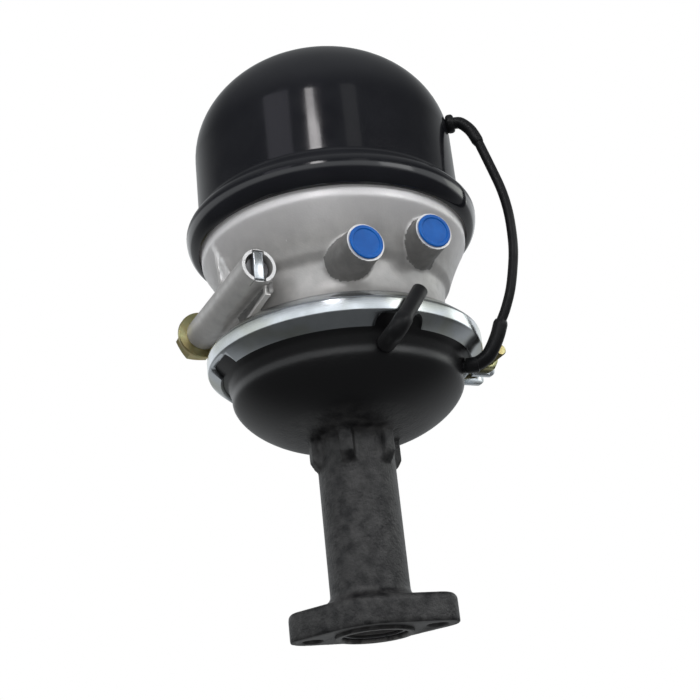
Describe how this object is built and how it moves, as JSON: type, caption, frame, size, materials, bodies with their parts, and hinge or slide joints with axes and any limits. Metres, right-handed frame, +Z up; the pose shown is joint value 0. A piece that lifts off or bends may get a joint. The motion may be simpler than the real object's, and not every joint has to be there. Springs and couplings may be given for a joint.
{
  "type": "spring brake chamber",
  "caption": "Spring brake chamber: domed spring housing, aluminium flange housing, clamped bowl with a long neck and a two-bolt mounting flange.",
  "frame": {"origin": "centre of the neck's bore at the mounting flange's face", "axes": "+Z up the chamber's axis to the dome, X through the two bolt holes, the hose on the +X side"},
  "size_m": [0.2417, 0.199, 0.4093],
  "materials": {
    "dome_enamel": "gloss black enamel",
    "cast_aluminium": "as cast",
    "cast_black": "satin black paint on a casting",
    "zinc_plate": "bright zinc plate",
    "yellow_zinc": "yellow zinc plate",
    "spring_steel": "dark coated steel",
    "turned_steel": "turned",
    "black_rubber": "satin",
    "blue_plastic": "moulded",
    "guide_plastic": "moulded"
  },
  "bodies": {
    "housing": {"bowl_housing": "cast_black", "guide_sleeve": "guide_plastic", "retaining_ring": "turned_steel", "flange_housing": "cast_aluminium", "port_plug_service": "blue_plastic", "port_plug_spring": "blue_plastic", "release_stud": "zinc_plate", "release_washer": "yellow_zinc", "release_nut": "yellow_zinc", "clamp_band": "zinc_plate", "clamp_bolt": "yellow_zinc", "clamp_nut": "yellow_zinc", "spring_housing": "dome_enamel", "dust_plug": "black_rubber", "spring_diaphragm": "black_rubber", "service_diaphragm": "black_rubber", "centre_bush": "guide_plastic", "power_spring": "spring_steel", "return_spring": "spring_steel", "elbow_dome": "black_rubber", "elbow_bowl": "black_rubber", "breather_hose": "black_rubber", "vent_elbow": "black_rubber"},
    "spring_stage": {"pressure_plate": "turned_steel", "adapter_rod": "turned_steel", "adapter_foot": "guide_plastic"},
    "service_stage": {"push_plate": "turned_steel", "push_rod": "turned_steel", "rod_guide_ring": "guide_plastic"}
  },
  "joints": [
    {"name": "spring_stroke", "type": "slide", "parent": "housing", "child": "spring_stage", "axis": [0, 0, 1], "range_m": [0, 0.057], "deforming": ["power_spring", "spring_diaphragm"]},
    {"name": "service_stroke", "type": "slide", "parent": "housing", "child": "service_stage", "axis": [0, 0, 1], "range_m": [0, 0.057], "deforming": ["return_spring", "service_diaphragm"]}
  ],
  "couplings": [
    {"joint": "service_stroke", "follows": "spring_stroke", "ratio": 1}
  ]
}
